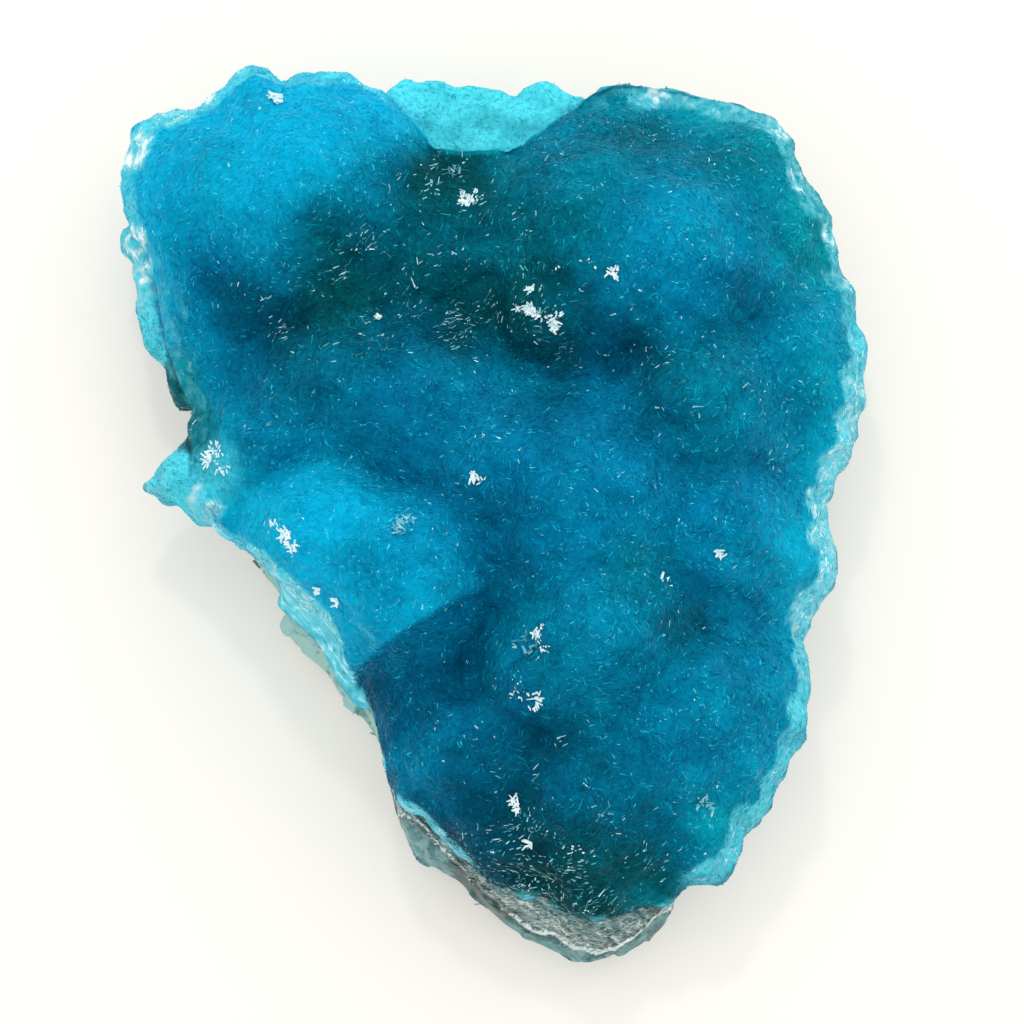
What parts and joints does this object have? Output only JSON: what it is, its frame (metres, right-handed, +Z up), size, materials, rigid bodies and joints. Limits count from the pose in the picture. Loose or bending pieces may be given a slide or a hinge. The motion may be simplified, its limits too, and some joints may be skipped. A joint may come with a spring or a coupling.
{
  "type": "hemimorphite specimen",
  "caption": "Blue mamillary hemimorphite crust with a fine bladed druse, on a thin broken slab of matrix; rests on its flat base.",
  "frame": {"origin": "on the plane of the flat base, under the middle of the specimen", "axes": "+Z up through the crust, +Y from the narrow broken tip towards the wide notched end, +X to the right as the picture shows it"},
  "size_m": [0.0504, 0.06, 0.0193],
  "materials": {
    "hemimorphite": "glassy, translucent deep blue to teal, with a fine sparkling druse",
    "matrix": "rough broken grey-teal rock with pale streaks and a few rusty spots"
  },
  "bodies": {
    "root": {"hemimorphite_crust": "hemimorphite", "matrix_slab": "matrix"}
  },
  "joints": []
}
